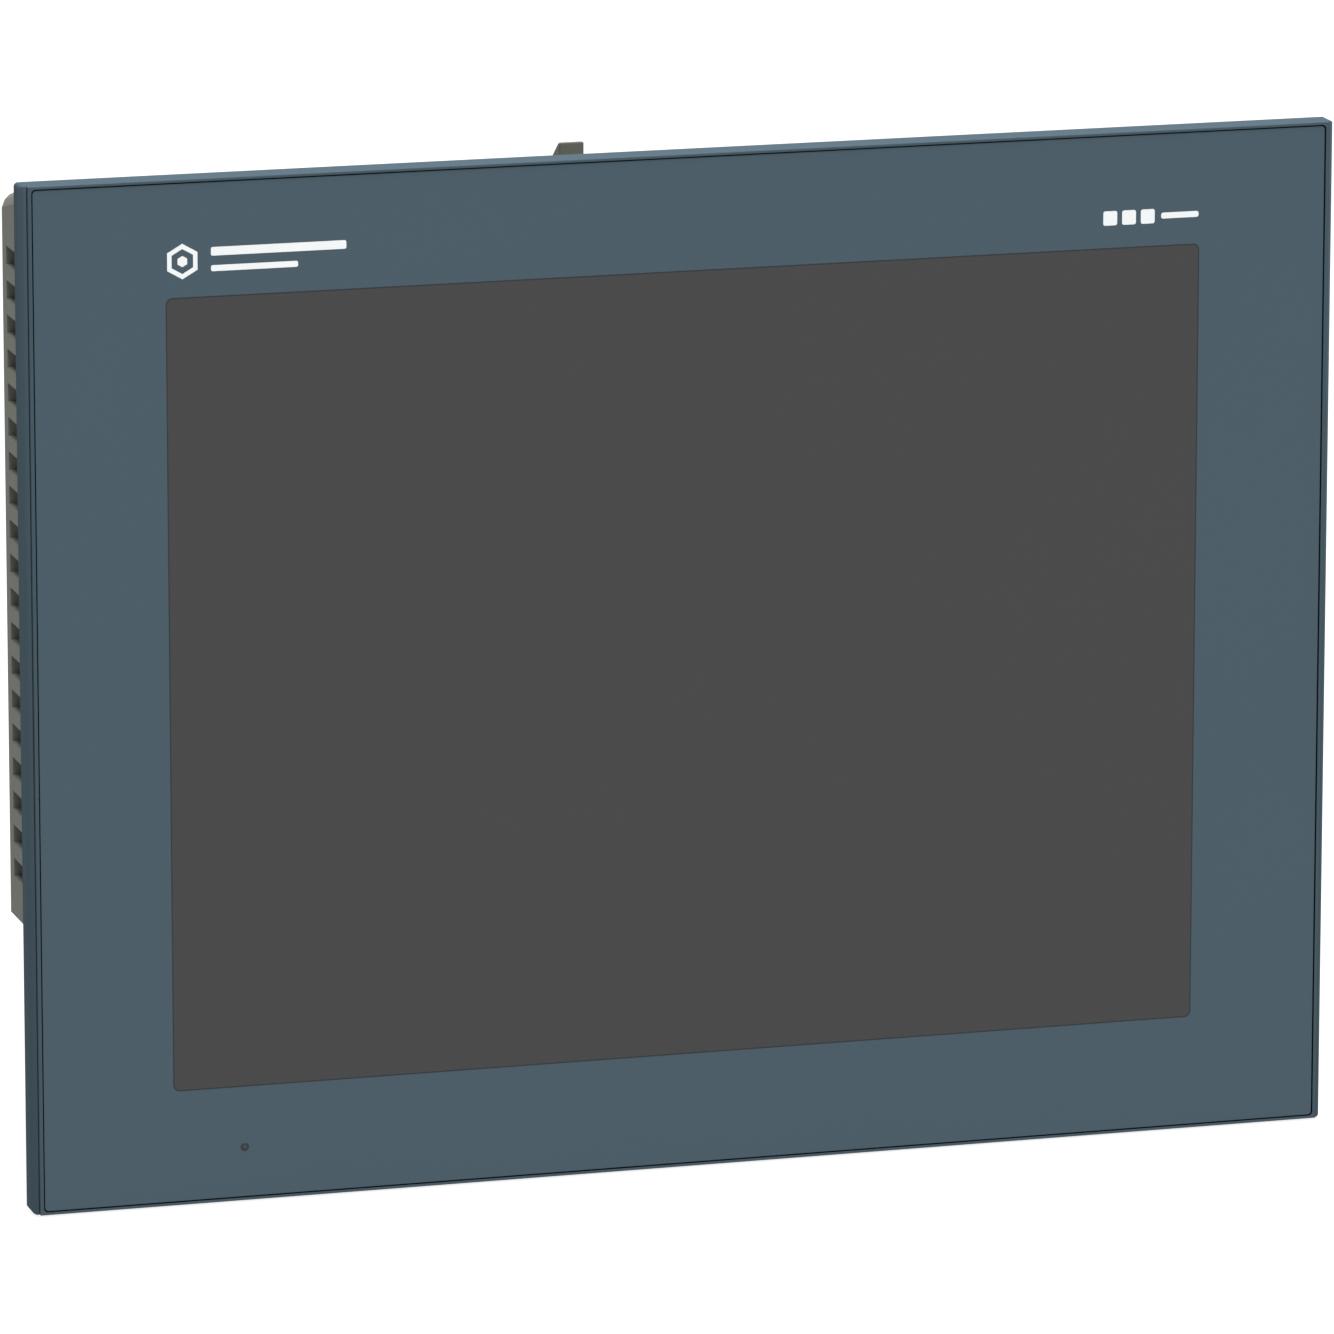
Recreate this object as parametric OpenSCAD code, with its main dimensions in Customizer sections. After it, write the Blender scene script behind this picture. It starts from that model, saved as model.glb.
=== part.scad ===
// Panel-mount touch operator terminal with a 12.1 inch display.
// Frame: X to the right seen from the front, Y backwards through the panel cut-out, Z up.
// Origin: centre of the panel cut-out, on the plane where the gasket meets the panel.

/* [Front] */
// Width of the bezel
bezel_w = 315; // [314:0.5:316]
// Height of the bezel
bezel_h = 241; // [240.5:0.5:242]
// Thickness of the bezel in front of the panel
bezel_depth = 7.5; // [7.5:0.1:8]
// Radius of the bezel's four corners, seen from the front
bezel_corner = 1; // [0.6:0.1:2.5]
// Radius of the rounded shoulder on the bezel's left and right sides
shoulder_r = 3; // [2.5:0.1:3.5]
// Width of the shoulder, beside the flat front rim
shoulder_w = 1.6; // [1.4:0.1:1.8]
// How far the flat front rim stands in front of the shoulder
rim_step = 0.5; // [0.3:0.05:0.6]
// Width of the front sheet that fills the bezel
sheet_w = 309.5; // [309:0.1:309.6]
// Height of the front sheet
sheet_h = 239.1; // [238.5:0.1:239.2]
// Gap between the front sheet and the rim
sheet_gap = 0.3; // [0.2:0.05:0.35]
// Width of the clear window in the front sheet
window_w = 248; // [246:0.5:249]
// Height of the clear window
window_h = 186.4; // [185:0.2:187]
// Radius of the window's corners
window_corner = 1.4; // [0.5:0.1:2]
// Place of the status light from the centre, along X and Z
status_light_at = [-107.2, -107.7];

/* [Rear housing] */
// Width of the rear housing, a sliding fit in a 301.5 mm cut-out
housing_w = 298.8; // [298:0.2:299.6]
// Height of the rear housing, a sliding fit in a 227.5 mm cut-out
housing_h = 225.4; // [225:0.2:226]
// Depth of the rear housing behind the panel
housing_depth = 48; // [48:0.5:50]
// Depth of its low part, below the connectors
low_depth = 14; // [14:0.5:14.5]
// Height of the downward face that the connectors come out of
step_z = -62; // [-62.5:0.5:-62]
// Drop of the sloping top edge at the back
slope_drop = 3.2; // [2:0.2:4]
// Depth of the sloping top edge
slope_run = 14; // [12:0.5:14]
// Thickness of the housing's walls
wall = 2.4; // [2.4:0.1:2.5]

/* [Vents] */
// Number of vent slots in the left wall
slots_left = 19; // [8:1:19]
// Distance from slot to slot
slot_pitch = 8.09; // [8:0.01:8.1]
// Width of each slot's short side
slot_gap = 4.3; // [3:0.1:4.5]
// Height of the first slot's centre on the side walls
first_slot_z = 95.4; // [94:0.2:96]

/* [Drop hook] */
// Width of the hook that stops the terminal falling out of its cut-out
hook_w = 6; // [5:0.5:6.5]
// Place of the hook's middle along the top
hook_x = -18.5; // [-20:0.5:-17]
// Distance from the panel to the hook's catching face
hook_y = 26.5; // [25:0.5:28]
// Height of the hook's tip
hook_tip_z = 118.3; // [116:0.1:119]

/* [Card cover] */
// Height of the card cover's opening
cover_h = 42; // [41:0.5:42]
// Width of the card cover's opening
cover_w = 20; // [19.5:0.5:20]
// Clearance round the card cover
cover_gap = 0.3; // [0.3:0.05:0.4]

/* [Connectors] */
// Place of the power connector along X
power_x = -75; // [-77:0.5:-73]
// Place of the nine-pole serial connector along X
serial_x = -36; // [-37:0.5:-35]
// Places of the two eight-pole jacks along X
jack_xs = [0, 22];
// Places of the two host ports along X
host_xs = [46, 66];
// Place of the small device port along X
device_x = 86; // [84:0.5:90]

/* [Hidden] */
$fn = 48;

blue_grey = [0.24, 0.33, 0.38];
olive_grey = [0.44, 0.45, 0.42];

gasket_proud = 0.5;
bezel_back = -gasket_proud;
front_y = bezel_back - bezel_depth;
gasket_outer = [310, 237];
gasket_inner = [303, 230];
gasket_groove = 1.5;
rim_w = bezel_w - 2 * shoulder_w;
seam_w = 0.2;
seam_deep = 1.1;
relief = [0.2, 1.6];
slope_angle = atan(slope_drop / slope_run);
slope_tall = 300;

sheet_front = front_y + 0.2;
sheet_back = sheet_front + 0.6;
touch_size = [262, 204];
touch_clear = 1;
touch_back = sheet_back + 2;
adhesive_back = touch_back + 0.3;
ledge_back = adhesive_back + 1.5;
ledge_hole = [251, 189.4];
cavity = [290, 218];
light_pipe_r = 1;

lcd_size = [260.5, 204];
lcd_view = [249, 187.4];
lcd_front = ledge_back + 0.7;
lcd_back = lcd_front + 8.4;
sheet_metal = 0.8;

chassis_y = lcd_back + 1.3;
chassis_back = chassis_y + 1.2;
chassis_top = 105;
chassis_low = -101.5;
chassis_half_w = 144;
chassis_screw_xz = [[-139, 90], [139, 90], [-139, 0], [139, 0], [-139, -96], [139, -96]];
post_xz = [[-140.5, 100], [140.5, 100], [-140.5, -55.5], [140.5, -55.5]];
low_screw_xz = [[-125, -105.6], [0, -105.6], [125, -105.6]];
boss_r = 3.5;
post_end = housing_depth - 5.4;
low_boss_end = low_depth - 5.4;

board_y = 14;
board_back = board_y + 1.6;
board_x = [-92, 134];
board_z = [step_z + wall + 0.4, 50];
board_hole_xz = [[-88, 46], [20, 46], [130, 46], [-88, -20], [20, -20], [112, -55]];

screw_r = 1.2;
screw_head_r = 2.8;

cover_y = [14.4, 14.4 + cover_w];
cover_z = [-50, -50 + cover_h];
cover_x = housing_w / 2;
hinge_r = 0.8;
hinge_barrel_r = wall / 2;
hinge_at = [cover_x - hinge_barrel_r, cover_y[1] - cover_gap - hinge_barrel_r];

hook_axis = [12, housing_h / 2 - 3.1];
hook_trunnion_r = 1;
hook_barrel_r = 1.9;
hook_end_y = hook_y + 9.6;
hook_side_gap = 0.6;
hook_lever = [110.4, housing_h / 2 - 0.3];
cheek_y = [hook_axis[0] - 3, 25];
shelf_z = 99;
spring_y = [14, 24];
spring_tip_y = 17.3;
spring_w = 4.6;
spring_t = 0.4;

power_y = 22.4;
power_pitch = 5.08;
power_mouth_z = step_z + 0.5;
serial_y = 23;
serial_post_spacing = 24.99;
jack_post_hole_r = 1.42;
jack_y = [board_back, board_back + 13.4];
flex_x = [92, 104];
flex_t = 0.2;
pocket_xs = [-95, 95];
pocket_y = [3.4, 9.4];
pocket_w = 12;
pocket_deep = 5;

// ---- shared shapes ----

// A block between two corners
module block(lo, hi) {
    translate(lo) cube(hi - lo);
}

// A rounded rectangle, centred
module rounded(w, h, r) {
    square([w - 2 * r, h], center = true);
    square([w, h - 2 * r], center = true);
    for (x = [-1, 1], y = [-1, 1]) translate([x * (w / 2 - r), y * (h / 2 - r)]) circle(r);
}

// A rounded rectangle facing along Y, from y0 to y1
module plate(w, h, r, y0, y1) {
    translate([0, y1, 0]) rotate([90, 0, 0]) linear_extrude(y1 - y0) rounded(w, h, r);
}

// A plain rectangle facing along Y
module sheet(w, h, y0, y1) {
    block([-w / 2, y0, -h / 2], [w / 2, y1, h / 2]);
}

// A flat ring facing along Y
module frame(outer, inner, y0, y1) {
    difference() {
        sheet(outer[0], outer[1], y0, y1);
        sheet(inner[0], inner[1], y0 - 1, y1 + 1);
    }
}

module rod_y(r, y0, y1, xz) {
    translate([xz[0], y1, xz[1]]) rotate([90, 0, 0]) cylinder(r = r, h = y1 - y0);
}

module rod_x(r, x0, x1, yz) {
    translate([x0, yz[0], yz[1]]) rotate([0, 90, 0]) cylinder(r = r, h = x1 - x0);
}

module rod_z(r, z0, z1, xy) {
    translate([xy[0], xy[1], z0]) cylinder(r = r, h = z1 - z0);
}

module hex_post(across, y0, y1, xz) {
    translate([xz[0], y1, xz[1]]) rotate([90, 0, 0]) cylinder(r = across / sqrt(3), h = y1 - y0, $fn = 6);
}

// A pan head screw along Y, its head's seat at y and its shank in front of it
module screw_y(y, length, xz) {
    difference() {
        rod_y(screw_head_r, y, y + 2, xz);
        for (a = [0, 90]) translate([xz[0], y + 2, xz[1]]) rotate([0, a, 0])
            cube([0.7, 2.2, 3.2], center = true);
    }
    rod_y(screw_r, y - length, y, xz);
}

// ---- front ----

// The bezel's section, seen from above
module bezel_section() {
    drop = sqrt(pow(shoulder_r, 2) - pow(shoulder_r - shoulder_w, 2));
    shoulder_y = front_y + rim_step + drop;
    difference() {
        union() {
            translate([-rim_w / 2, front_y]) square([rim_w, bezel_depth]);
            translate([-bezel_w / 2, shoulder_y]) square([bezel_w, bezel_back - shoulder_y]);
            for (side = [-1, 1]) translate([side * (bezel_w / 2 - shoulder_r), shoulder_y]) circle(shoulder_r);
        }
        // fine seam between the rim and the shoulder
        for (side = [-1, 1]) translate([side * (rim_w / 2 + seam_w / 2) - seam_w / 2, front_y - 1])
            square([seam_w, seam_deep + 1]);
    }
}

// Narrow glue relief round the edge of the front sheet's pocket
module sheet_relief() {
    difference() {
        plate(sheet_w + 2 * sheet_gap, sheet_h + 2 * sheet_gap, 1, front_y, front_y + relief[1]);
        plate(sheet_w - 2 * relief[0], sheet_h - 2 * relief[0], 0.8, front_y - 1, front_y + relief[1] + 1);
    }
}

module front_bezel() color(blue_grey) {
    difference() {
        intersection() {
            translate([0, 0, -bezel_h / 2]) linear_extrude(bezel_h) bezel_section();
            plate(bezel_w, bezel_h, bezel_corner, front_y, bezel_back);
        }
        plate(sheet_w + 2 * sheet_gap, sheet_h + 2 * sheet_gap, 1, front_y - 1, sheet_back);
        sheet_relief();
        sheet(touch_size[0] + touch_clear, touch_size[1] + touch_clear, front_y, adhesive_back);
        sheet(ledge_hole[0], ledge_hole[1], front_y, bezel_back + 1);
        sheet(cavity[0], cavity[1], ledge_back, bezel_back + 1);
        difference() {
            sheet(gasket_outer[0], gasket_outer[1], bezel_back - gasket_groove, bezel_back + 1);
            sheet(gasket_inner[0], gasket_inner[1], bezel_back - gasket_groove - 1, bezel_back + 1);
        }
        rod_y(light_pipe_r, front_y, bezel_back, status_light_at);
        flex_notch();
    }
    for (at = chassis_screw_xz) screw_boss(at, ledge_back - 0.5, chassis_y);
    for (at = low_screw_xz) screw_boss(at, ledge_back - 0.5, low_boss_end);
}

// Way through for the touch panel's tail
module flex_notch() {
    low = -ledge_hole[1] / 2;
    block([flex_x[0] - 1, touch_back, low - 6.6], [flex_x[1] + 1, lcd_front, low + 5]);
}

module screw_boss(at, y0, y1) {
    difference() {
        rod_y(boss_r, y0, y1, at);
        rod_y(screw_r, y0 + 1.5, y1 + 1, at);
    }
}

module overlay_sheet() color(blue_grey) {
    difference() {
        plate(sheet_w, sheet_h, 0.8, sheet_front, sheet_back);
        plate(window_w, window_h, window_corner, sheet_front - 1, sheet_back + 1);
        rod_y(light_pipe_r, sheet_front - 1, sheet_back + 1, status_light_at);
    }
}

module display_window() color([0.2, 0.2, 0.2])
    plate(window_w, window_h, window_corner, sheet_front, sheet_back);

module touch_panel() color([0.5, 0.6, 0.6, 0.5]) sheet(touch_size[0], touch_size[1], sheet_back, touch_back);

module touch_adhesive() color("black") difference() {
    frame(touch_size, ledge_hole, touch_back, adhesive_back);
    flex_notch();
}

// Flat tail from the touch panel, back through the ledge, round the display and up to the main board
module touch_flex() color("orange") {
    z = -ledge_hole[1] / 2 - 3;
    low = -lcd_size[1] / 2 - 2.2;
    fold = board_y - 2.6;
    block([flex_x[0], touch_back, z - 3], [flex_x[1], touch_back + flex_t, z + 6]);
    block([flex_x[0], touch_back, z - 3], [flex_x[1], lcd_front, z - 3 + flex_t]);
    block([flex_x[0], lcd_front - flex_t, low], [flex_x[1], lcd_front, z - 3 + flex_t]);
    block([flex_x[0], lcd_front - flex_t, low], [flex_x[1], fold, low + flex_t]);
    block([flex_x[0], fold - flex_t, low], [flex_x[1], fold, step_z + 14]);
}

module status_light_pipe() color([0.3, 0.32, 0.32]) {
    rod_y(light_pipe_r, sheet_front, 0.2, status_light_at);
}

module status_led_board() color("darkgreen") {
    at = status_light_at;
    block([at[0] - 8, 1.2, at[1] - 1.2], [at[0] + 4, 2.2, at[1] + 5]);
    block([at[0] - 1, 0.4, at[1] - 0.8], [at[0] + 1, 1.2, at[1] + 0.8]);
}

module panel_gasket() color([0.08, 0.08, 0.08])
    frame(gasket_outer, gasket_inner, bezel_back - gasket_groove, 0);

// ---- display ----

module lcd_foam() color("dimgray") difference() {
    frame(lcd_size, lcd_view + [3, 3], ledge_back, lcd_front);
    low = -lcd_size[1] / 2;
    block([flex_x[0] - 1, ledge_back - 1, low - 1], [flex_x[1] + 1, lcd_front + 1, low + 3]);
}

module lcd_front_frame() color("silver") {
    difference() {
        sheet(lcd_size[0], lcd_size[1], lcd_front, lcd_front + 5);
        sheet(lcd_view[0], lcd_view[1], lcd_front - 1, lcd_front + 6);
        sheet(lcd_size[0] - 2 * sheet_metal, lcd_size[1] - 2 * sheet_metal, lcd_front + sheet_metal,
            lcd_front + 6);
    }
}

module lcd_glass() color([0.12, 0.12, 0.13]) sheet(254, 193, lcd_front + 0.8, lcd_front + 2.2);

module lcd_diffuser() color("white") sheet(254, 193, lcd_front + 2.2, lcd_front + 3);

module lcd_light_guide() color([0.9, 0.95, 1, 0.6]) {
    block([-127, lcd_front + 3, -90], [127, lcd_front + 6, 96.5]);
}

module lcd_led_bar() color("ivory") {
    block([-127, lcd_front + 3.2, -94], [127, lcd_front + 5.8, -93]);
    for (x = [-120:16:120]) block([x - 2, lcd_front + 3.5, -93], [x + 2, lcd_front + 5.5, -90.2]);
}

module lcd_rear_tray() color("lightgray") {
    inner = lcd_size - [2 * sheet_metal, 2 * sheet_metal];
    difference() {
        sheet(inner[0], inner[1], lcd_front + 3, lcd_back);
        sheet(inner[0] - 2 * sheet_metal, inner[1] - 2 * sheet_metal, lcd_front + 2, lcd_back - sheet_metal);
        for (x = [-90:60:90]) block([x - 20, lcd_back - 2, 20], [x + 20, lcd_back + 1, 23]);
    }
}

module lcd_control_board() color("seagreen") {
    block([-60, lcd_back, 70], [60, lcd_back + 1, 96]);
}

module lcd_rear_pads() color("black") {
    for (x = [-115, 115], z = [-75, 75]) block([x - 8, lcd_back, z - 8], [x + 8, chassis_y, z + 8]);
}

// Flat cable from the display's control board, through the chassis to the main board's top edge
module display_cable() color("ivory") {
    block([-20, lcd_back + 1, 66], [10, lcd_back + 1.2, 80]);
    block([-20, lcd_back + 1, 65.8], [10, board_back + 2, 66]);
    block([-20, board_back + 1.8, 43], [10, board_back + 2, 65.8]);
}

module backlight_cable() color("white") {
    for (k = [0:1]) rod_y(0.7, lcd_back, board_y - 1, [-100 + 2.2 * k, -48]);
}

// ---- chassis and boards ----

module chassis_plate() color("gainsboro") {
    difference() {
        union() {
            block([-chassis_half_w, chassis_y, chassis_low], [chassis_half_w, chassis_back, chassis_top]);
            for (side = [-1, 1]) block(
                [side * chassis_half_w - (side > 0 ? 1.2 : 0), chassis_back, -40],
                [side * chassis_half_w + (side > 0 ? 0 : 1.2), chassis_back + 4, 80]);
        }
        for (at = chassis_screw_xz) rod_y(1.6, chassis_y - 1, chassis_back + 1, at);
        block([-24, chassis_y - 1, 60], [14, chassis_back + 1, 90]);
        block([-64, chassis_y - 1, 60], [-30, chassis_back + 1, 98]);
        block([-104, chassis_y - 1, -52], [-93, chassis_back + 1, -44]);
        for (x = [-60, 40], z = [-80]) block([x - 25, chassis_y - 1, z - 6], [x + 25, chassis_back + 1, z + 6]);
    }
}

module chassis_screws() color("silver") {
    for (at = chassis_screw_xz) screw_y(chassis_back, 6, at);
    for (at = board_hole_xz) screw_y(board_back, 5, at);
}

module housing_posts() color("silver") {
    for (at = post_xz) difference() {
        hex_post(5.5, chassis_back, post_end, at);
        rod_y(screw_r, post_end - 8, post_end + 1, at);
    }
}

module board_standoffs() color("gold") for (at = board_hole_xz) difference() {
    hex_post(5, chassis_back, board_y, at);
    rod_y(screw_r, chassis_back + 1, board_y + 1, at);
}

module main_board() color("darkgreen") {
    difference() {
        block([board_x[0], board_y, board_z[0]], [board_x[1], board_back, board_z[1]]);
        for (at = board_hole_xz) rod_y(1.6, board_y - 1, board_back + 1, at);
    }
    // headers for the touch tail, the display cable, the backlight and the status light
    block([flex_x[0] - 1, board_y - 2.6, -54], [flex_x[1] + 1, board_y, -48]);
    block([-21, board_back, 42], [11, board_back + 1.8, 47.8]);
    block([-82, board_back, 30], [-74, board_back + 4, 36]);
}

// Each chip: x, z, width, height and thickness
chips = [[28, 12, 27, 27, 1.8], [64, 22, 12, 9, 1.1], [64, 6, 12, 9, 1.1], [-8, 12, 14, 14, 1.4],
    [10, -30, 10, 10, 1.2], [-38, -22, 18, 8, 2.4], [96, 8, 10, 10, 1.4], [96, 30, 8, 6, 1.1],
    [-50, 12, 9, 9, 1.4], [60, -24, 7, 7, 1.1], [80, -30, 6, 5, 1.1]];

module board_chips() color([0.1, 0.1, 0.1]) {
    for (c = chips) block([c[0] - c[2] / 2, board_back, c[1] - c[3] / 2],
        [c[0] + c[2] / 2, board_back + c[4], c[1] + c[3] / 2]);
}

module processor_heatsink() color("silver") {
    foot = board_back + chips[0][4];
    difference() {
        block([10, foot, -6], [46, foot + 14, 30]);
        for (k = [0:5]) block([11.8 + 5.9 * k, foot + 3, -7], [14.9 + 5.9 * k, foot + 15, 31]);
    }
}

module capacitors() color("dimgray") {
    for (at = [[-70, -6], [-70, 10], [-58, -6]]) rod_y(5, board_back, board_back + 16, at);
    for (at = [[98, -14], [98, -26]]) rod_y(3.2, board_back, board_back + 6, at);
}

module power_transformer() color("darkkhaki") {
    block([-88, board_back, -44], [-66, board_back + 16, -24]);
    block([-58, board_back, -44], [-46, board_back + 7, -32]);
}

module battery_holder() color("black") {
    difference() {
        rod_y(12.5, board_back, board_back + 5, [114, 22]);
        rod_y(10.1, board_back + 1.4, board_back + 6, [114, 22]);
        block([110, board_back + 1.4, 30], [118, board_back + 6, 36]);
    }
}

module clock_battery() color("silver") rod_y(10, board_back + 1.5, board_back + 4.7, [114, 22]);

module buzzer() color([0.1, 0.1, 0.1]) difference() {
    rod_y(6, board_back, board_back + 7, [-34, 30]);
    rod_y(1, board_back + 4, board_back + 8, [-34, 30]);
}

// ---- connectors in the downward face ----

// The D-shaped outline of the serial connector
module d_outline(grow) {
    w = 16.9 + grow;
    h = 8.4 + grow;
    slant = 1.4;
    polygon([[-w / 2, h / 2], [w / 2, h / 2], [w / 2 - slant, -h / 2], [-w / 2 + slant, -h / 2]]);
}

module serial_shell() color("silver") translate([serial_x, serial_y, 0]) {
    difference() {
        translate([0, 0, step_z - 5.2]) linear_extrude(6) d_outline(0);
        translate([0, 0, step_z - 6]) linear_extrude(8) d_outline(-1);
    }
    difference() {
        block([-15.4, -6.2, step_z + 0.3], [15.4, 6.2, step_z + 1.1]);
        translate([0, 0, step_z - 6]) linear_extrude(8) d_outline(-1);
        for (side = [-1, 1]) rod_z(1.6, step_z - 1, step_z + 2, [side * serial_post_spacing / 2, 0]);
    }
}

module serial_insulator() color([0.12, 0.12, 0.12]) translate([serial_x, serial_y, 0]) {
    block([-9.4, -4.6, step_z + 1.1], [9.4, 4.6, step_z + 11]);
    block([-9.4, board_back - serial_y, step_z + wall + 0.4], [9.4, -4.6, step_z + 11]);
}

module serial_pins() color("gold") translate([serial_x, serial_y, 0]) {
    for (k = [0:4]) rod_z(0.5, step_z - 4.6, step_z + 1.1, [(k - 2) * 2.77, 1.42]);
    for (k = [0:3]) rod_z(0.5, step_z - 4.6, step_z + 1.1, [(k - 1.5) * 2.77, -1.42]);
}

module serial_jack_posts() color("silver") translate([serial_x, serial_y, 0]) {
    for (side = [-1, 1]) translate([side * serial_post_spacing / 2, 0, step_z - 5]) difference() {
        union() {
            cylinder(r = 5 / sqrt(3), h = 5.3, $fn = 6);
            cylinder(r = 1.6, h = 7.5);
        }
        translate([0, 0, -1]) cylinder(r = jack_post_hole_r, h = 6);
    }
}

// Eight-pole jack: a shell with a stepped mouth for the plug and its latch
module jack(x) {
    mid_y = (jack_y[0] + jack_y[1]) / 2;
    difference() {
        block([x - 8, jack_y[0], step_z - 0.3], [x + 8, jack_y[1], step_z + 20.7]);
        block([x - 5.9, mid_y - 3.4, step_z - 1], [x + 5.9, mid_y + 3.4, step_z + 12.7]);
        block([x - 3.1, mid_y + 3.3, step_z - 1], [x + 3.1, mid_y + 4.9, step_z + 8]);
    }
}

module serial_jack() color("silver") jack(jack_xs[0]);

module ethernet_jack() color("silver") jack(jack_xs[1]);

module jack_contacts() color("gold") {
    floor_y = (jack_y[0] + jack_y[1]) / 2 - 3.4;
    for (x = jack_xs, k = [0:7]) block([x + (k - 3.5) * 1.02 - 0.2, floor_y, step_z + 2.5],
        [x + (k - 3.5) * 1.02 + 0.2, floor_y + 0.5, step_z + 12.7]);
}

host_y = [board_back, board_back + 5.8];

module usb_host_shells() color("silver") for (x = host_xs) difference() {
    block([x - 6.6, host_y[0], step_z - 0.5], [x + 6.6, host_y[1], step_z + 13.5]);
    block([x - 6.2, host_y[0] + 0.4, step_z - 1], [x + 6.2, host_y[1] - 0.4, step_z + 12.5]);
}

module usb_host_tongues() color([0.92, 0.92, 0.92]) for (x = host_xs) {
    block([x - 5.6, host_y[0] + 0.7, step_z + 0.6], [x + 5.6, host_y[0] + 2.4, step_z + 12.5]);
    block([x - 6.2, host_y[0] + 0.4, step_z + 10.5], [x + 6.2, host_y[1] - 0.4, step_z + 12.5]);
}

module usb_device_port() color("silver") {
    difference() {
        block([device_x - 3.9, board_back, step_z - 0.5], [device_x + 3.9, board_back + 4, step_z + 8.7]);
        block([device_x - 3.5, board_back + 0.4, step_z - 1], [device_x + 3.5, board_back + 3.6, step_z + 7.7]);
    }
    block([device_x - 2.2, board_back + 1.6, step_z + 0.4], [device_x + 2.2, board_back + 2.4, step_z + 7.7]);
}

header_half = [10.2, 6.2];
header_mouth_half = [9.2, 5];
plug_nose_half = [8.7, 4.5];
plug_half = [9.9, 6];
plug_low = step_z - 12;

module power_header() color([0.12, 0.2, 0.14]) translate([power_x, power_y, 0]) difference() {
    block([-header_half[0], board_back - power_y, power_mouth_z], [header_half[0], header_half[1], step_z + 14]);
    block([-header_mouth_half[0], -header_mouth_half[1], power_mouth_z - 1],
        [header_mouth_half[0], header_mouth_half[1], step_z + 11]);
}

module power_header_pins() color("silver") translate([power_x, power_y, 0]) {
    for (k = [-1:1]) block([k * power_pitch - 0.5, -0.5, step_z + 2.5], [k * power_pitch + 0.5, 0.5, step_z + 11]);
}

// Pluggable three-pole terminal: the wires go in from below and the screws face backwards
module power_plug() color([0.16, 0.3, 0.2]) translate([power_x, power_y, 0]) difference() {
    union() {
        block([-plug_nose_half[0], -plug_nose_half[1], step_z - 1],
            [plug_nose_half[0], plug_nose_half[1], step_z + 10]);
        block([-plug_half[0], -plug_half[1], plug_low], [plug_half[0], plug_half[1], step_z]);
    }
    for (k = [-1:1]) {
        block([k * power_pitch - 1, -1, step_z + 1], [k * power_pitch + 1, 1, step_z + 11]);
        rod_z(1.7, plug_low - 1, plug_low + 9, [k * power_pitch, 0]);
        translate([k * power_pitch, 0, plug_low + 4.5]) rotate([-90, 0, 0]) cylinder(r = 1.9, h = 10);
    }
}

// A slotted head at the mouth of each screw well, clear of the wire's way
module power_plug_screws() color("silver") for (k = [-1:1])
    translate([power_x + k * power_pitch, power_y + 2.6, plug_low + 4.5]) difference() {
        rotate([-90, 0, 0]) cylinder(r = 1.8, h = 2);
        translate([0, 2, 0]) cube([0.6, 1.4, 4], center = true);
    }

// ---- card socket and setting switches behind the card cover ----

card_z = [-47, -19];
card_x = [110, 137];
card_mouth = [board_back + 0.5, board_back + 2.9];

module card_socket_base() color([0.1, 0.1, 0.1]) {
    block([card_x[0], board_back, card_z[0]], [card_x[1], card_mouth[0], card_z[1]]);
    block([card_x[0], card_mouth[0], card_z[0] + 1.6], [card_x[0] + 2, card_mouth[1], card_z[1] - 1.6]);
}

module card_socket_shell() color("silver") difference() {
    block([card_x[0], card_mouth[0], card_z[0]], [card_x[1], card_mouth[1] + 0.4, card_z[1]]);
    block([card_x[0] - 1, card_mouth[0] - 1, card_z[0] + 1.6], [card_x[1] + 1, card_mouth[1], card_z[1] - 1.6]);
}

dip_x = [130.6, 136.6];
dip_y = [board_back, board_back + 7];
dip_z0 = -17.1;
dip_pitch = 2.2;
dip_mid_y = (dip_y[0] + dip_y[1]) / 2;

module dip_switch_body() color([0.55, 0.08, 0.08]) difference() {
    block([dip_x[0], dip_y[0], dip_z0 - 1.3], [dip_x[1], dip_y[1], dip_z0 + 3 * dip_pitch + 1.3]);
    for (k = [0:3]) block([dip_x[1] - 1.7, dip_mid_y - 2, dip_z0 + dip_pitch * k - 0.85],
        [dip_x[1] + 1, dip_mid_y + 2, dip_z0 + dip_pitch * k + 0.85]);
}

module dip_slider(k) {
    z = dip_z0 + dip_pitch * k;
    color("white") block([dip_x[1] - 1.35, dip_mid_y - 1.6, z - 0.5], [dip_x[1] + 0.5, dip_mid_y, z + 0.5]);
}

module card_cover() color(olive_grey) {
    difference() {
        union() {
            block([cover_x - wall, cover_y[0] + cover_gap, cover_z[0] + cover_gap],
                [cover_x, hinge_at[1], cover_z[1] - cover_gap]);
            rod_z(hinge_barrel_r, cover_z[0] + cover_gap, cover_z[1] - cover_gap, hinge_at);
        }
        rod_z(hinge_r + 0.06, cover_z[0] - 1, cover_z[1] + 1, hinge_at);
        // shallow scoop that lightens the inside face
        block([cover_x - wall - 1, cover_y[0] + 3, cover_z[0] + 4], [cover_x - wall + 0.7, hinge_at[1] - 4,
            cover_z[1] - 4]);
    }
}

module cover_hinge_pin() color("silver") rod_z(hinge_r, cover_z[0] - 3, cover_z[1] + 3, hinge_at);

// ---- rear housing ----

// The housing's side outline, seen from the left, drawn inset by t
module side_outline(t) {
    top = housing_h / 2 - t;
    polygon([[bezel_back - (t > 0 ? 1 : 0), -top], [low_depth - t, -top], [low_depth - t, step_z + t],
        [housing_depth - t, step_z + t], [housing_depth - t, top - slope_drop],
        [housing_depth - slope_run - t / 5, top], [bezel_back - (t > 0 ? 1 : 0), top]]);
}

// The side outline swept across the housing's width
module side_sweep(t) {
    translate([-housing_w / 2 + t, 0, 0]) rotate([90, 0, 90]) linear_extrude(housing_w - 2 * t) side_outline(t);
}

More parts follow.
